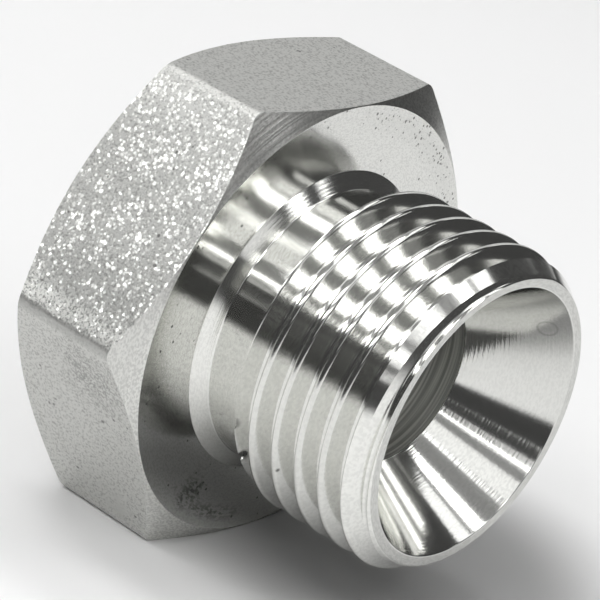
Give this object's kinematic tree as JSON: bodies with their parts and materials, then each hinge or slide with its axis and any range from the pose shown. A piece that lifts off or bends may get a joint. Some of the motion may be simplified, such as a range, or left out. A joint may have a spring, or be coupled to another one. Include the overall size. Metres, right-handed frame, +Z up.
{
  "type": "threaded cone plug",
  "caption": "Hexagon head blanking plug with a flat sealing face, a relieved neck, a parallel pipe thread and an internal cone seat in its end.",
  "frame": {"origin": "where the plug's axis crosses the plane of the sealing face", "axes": "+X along the axis towards the threaded end, +Z up through the middle of the top flat of the hexagon; the plug lies on the opposite flat"},
  "size_m": [0.024, 0.0328, 0.0286],
  "materials": {
    "plated_steel": "bright zinc plating over turned steel, grainy on the hexagon flats"
  },
  "bodies": {
    "root": {"plug": "plated_steel"}
  },
  "joints": []
}
